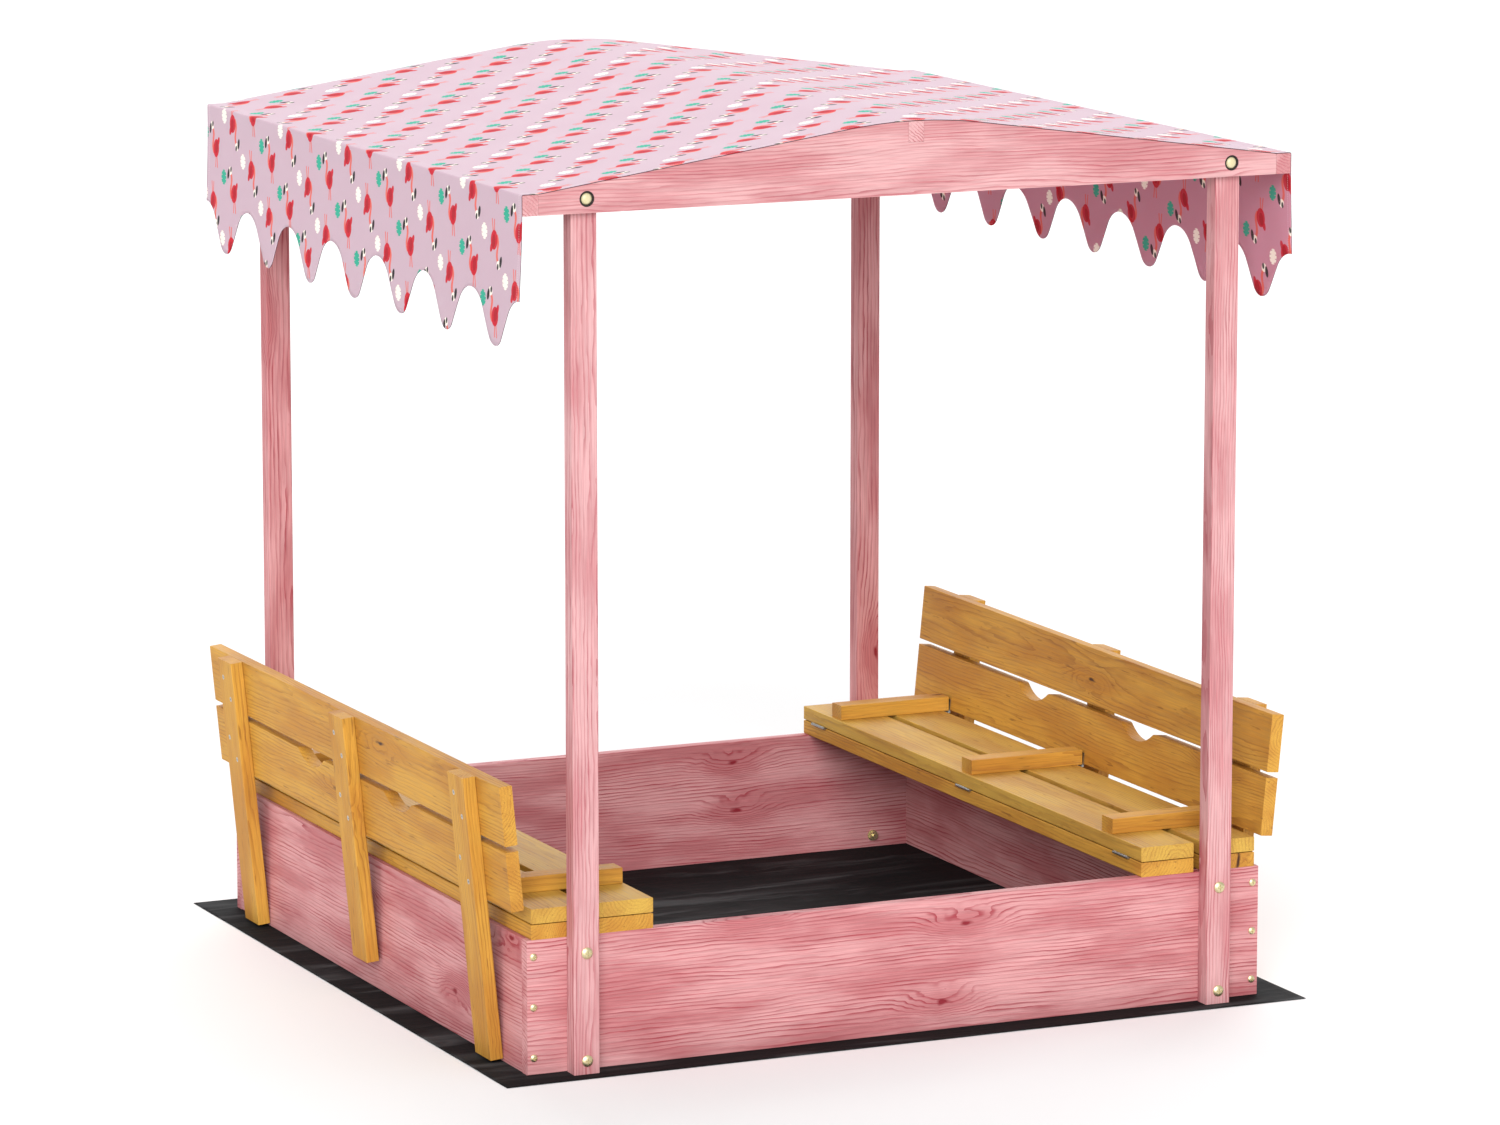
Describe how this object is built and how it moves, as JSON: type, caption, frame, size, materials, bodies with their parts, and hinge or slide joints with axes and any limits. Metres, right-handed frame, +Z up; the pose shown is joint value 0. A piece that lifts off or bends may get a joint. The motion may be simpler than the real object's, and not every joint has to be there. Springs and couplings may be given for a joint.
{
  "type": "sandbox with cover",
  "caption": "Square wooden sandbox with a scalloped cloth roof on four posts and a folding cover whose halves open into benches with backrests.",
  "frame": {"origin": "centre of the footprint, on the underside of the ground sheet", "axes": "+X towards the right bench seen from the front, +Y from the front wall to the back wall, +Z up"},
  "size_m": [1.3232, 1.31, 1.3668],
  "materials": {
    "rose_stained_wood": "pink-stained planed softwood, knotty, matt",
    "honey_wood": "honey-yellow stained planed softwood, matt",
    "printed_canopy_cloth": "pale pink woven polyester with a bird and leaf print",
    "woven_ground_fabric": "black woven ground fabric",
    "yellow_zinc_fasteners": "pale yellow zinc plating",
    "capped_bolts": "cream-coated bolt heads",
    "grey_screws": "grey zinc plating",
    "hinge_steel": "bright zinc-plated steel"
  },
  "bodies": {
    "box": {"ground_sheet": "woven_ground_fabric", "front_wall": "rose_stained_wood", "back_wall": "rose_stained_wood", "left_wall": "rose_stained_wood", "right_wall": "rose_stained_wood", "post_front_left": "rose_stained_wood", "post_front_right": "rose_stained_wood", "post_back_left": "rose_stained_wood", "post_back_right": "rose_stained_wood", "front_gable": "rose_stained_wood", "back_gable": "rose_stained_wood", "left_eave_rail": "rose_stained_wood", "right_eave_rail": "rose_stained_wood", "ridge_beam": "rose_stained_wood", "canopy_cover": "printed_canopy_cloth", "left_base_board_inner": "honey_wood", "left_base_board_outer": "honey_wood", "right_base_board_inner": "honey_wood", "right_base_board_outer": "honey_wood", "corner_screws": "yellow_zinc_fasteners", "post_bolts": "yellow_zinc_fasteners", "gable_bolts": "capped_bolts", "bolt_washers": "yellow_zinc_fasteners", "bolt_nuts": "yellow_zinc_fasteners", "base_board_screws": "yellow_zinc_fasteners", "roof_screws": "yellow_zinc_fasteners", "fold_hinge_base_leaves": "hinge_steel", "fold_hinge_pins": "hinge_steel"},
    "left_seat": {"left_seat_board_inner": "honey_wood", "left_seat_board_outer": "honey_wood", "left_seat_cleat_front": "honey_wood", "left_seat_cleat_middle": "honey_wood", "left_seat_cleat_back": "honey_wood", "left_seat_screws": "yellow_zinc_fasteners", "left_fold_hinge_seat_leaves": "hinge_steel", "left_back_hinge_cleat_leaves": "hinge_steel", "left_back_hinge_pins": "hinge_steel"},
    "right_seat": {"right_seat_board_inner": "honey_wood", "right_seat_board_outer": "honey_wood", "right_seat_cleat_front": "honey_wood", "right_seat_cleat_middle": "honey_wood", "right_seat_cleat_back": "honey_wood", "right_seat_screws": "yellow_zinc_fasteners", "right_fold_hinge_seat_leaves": "hinge_steel", "right_back_hinge_cleat_leaves": "hinge_steel", "right_back_hinge_pins": "hinge_steel"},
    "left_backrest": {"left_back_board_lower": "honey_wood", "left_back_board_upper": "honey_wood", "left_back_leg_front": "honey_wood", "left_back_leg_middle": "honey_wood", "left_back_leg_back": "honey_wood", "left_back_screws": "grey_screws", "left_back_hinge_back_leaves": "hinge_steel"},
    "right_backrest": {"right_back_board_lower": "honey_wood", "right_back_board_upper": "honey_wood", "right_back_leg_front": "honey_wood", "right_back_leg_middle": "honey_wood", "right_back_leg_back": "honey_wood", "right_back_screws": "grey_screws", "right_back_hinge_back_leaves": "hinge_steel"}
  },
  "joints": [
    {"name": "left_seat_fold", "type": "hinge", "parent": "box", "child": "left_seat", "pos_m": [-0.39793, 0, 0.2237], "axis": [0, 1, 0], "range_deg": [0, 180]},
    {"name": "left_backrest_fold", "type": "hinge", "parent": "left_seat", "child": "left_backrest", "pos_m": [-0.602, 0, 0.2442], "axis": [0, -1, 0], "range_deg": [0, 84.45]},
    {"name": "right_seat_fold", "type": "hinge", "parent": "box", "child": "right_seat", "pos_m": [0.39793, 0, 0.2237], "axis": [0, -1, 0], "range_deg": [0, 180]},
    {"name": "right_backrest_fold", "type": "hinge", "parent": "right_seat", "child": "right_backrest", "pos_m": [0.602, 0, 0.2442], "axis": [0, 1, 0], "range_deg": [0, 84.45]}
  ],
  "couplings": [
    {"joint": "left_backrest_fold", "follows": "left_seat_fold", "ratio": 0.46919},
    {"joint": "right_backrest_fold", "follows": "right_seat_fold", "ratio": 0.46919}
  ]
}
